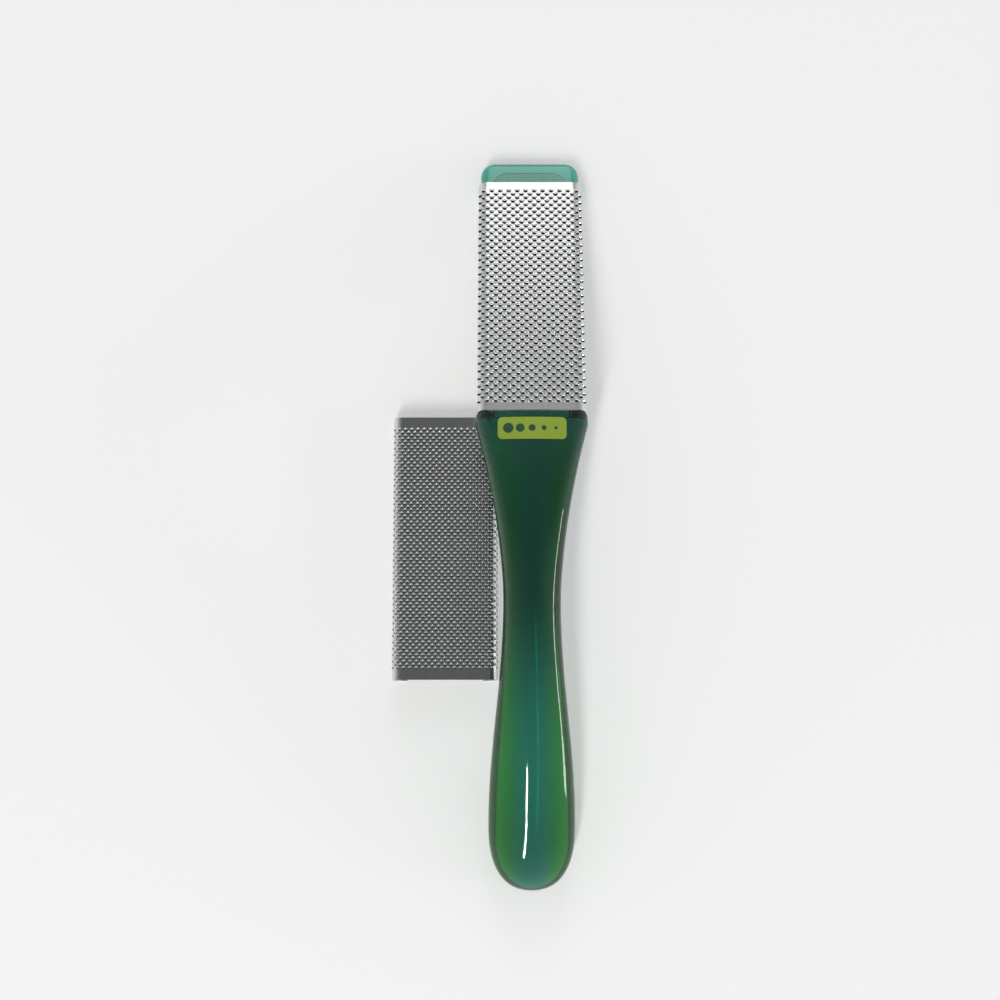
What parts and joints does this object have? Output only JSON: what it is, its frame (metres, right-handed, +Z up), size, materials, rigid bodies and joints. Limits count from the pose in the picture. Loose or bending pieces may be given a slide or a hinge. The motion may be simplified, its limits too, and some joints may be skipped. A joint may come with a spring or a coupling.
{
  "type": "foot file",
  "caption": "Flat foot file: clear plastic handle with bent neck and bulb grip, a toothed steel rasp plate that slides onto its head, and a finer spare plate lying loose beside it.",
  "frame": {"origin": "on the table, under the middle of the set as it lies", "axes": "+Z up, +Y from the handle's bulb towards the tip of the head, +X to the right seen from above"},
  "size_m": [0.0438, 0.1678, 0.0274],
  "materials": {
    "handle_plastic": "clear turquoise plastic, polished as moulded",
    "rasp_steel": "bright stainless sheet with punched teeth"
  },
  "bodies": {
    "handle": {"handle": "handle_plastic"},
    "coarse_plate": {"coarse_rasp_plate": "rasp_steel"},
    "fine_plate": {"fine_rasp_plate": "rasp_steel"}
  },
  "joints": [
    {"name": "coarse_plate_slide", "type": "slide", "parent": "handle", "child": "coarse_plate", "axis": [0, 0.9624, -0.2718], "range_m": [0, 0.067]},
    {"name": "fine_plate_slide", "type": "slide", "parent": "handle", "child": "fine_plate", "axis": [-1, 0, 0], "range_m": [0, 0.04]}
  ]
}
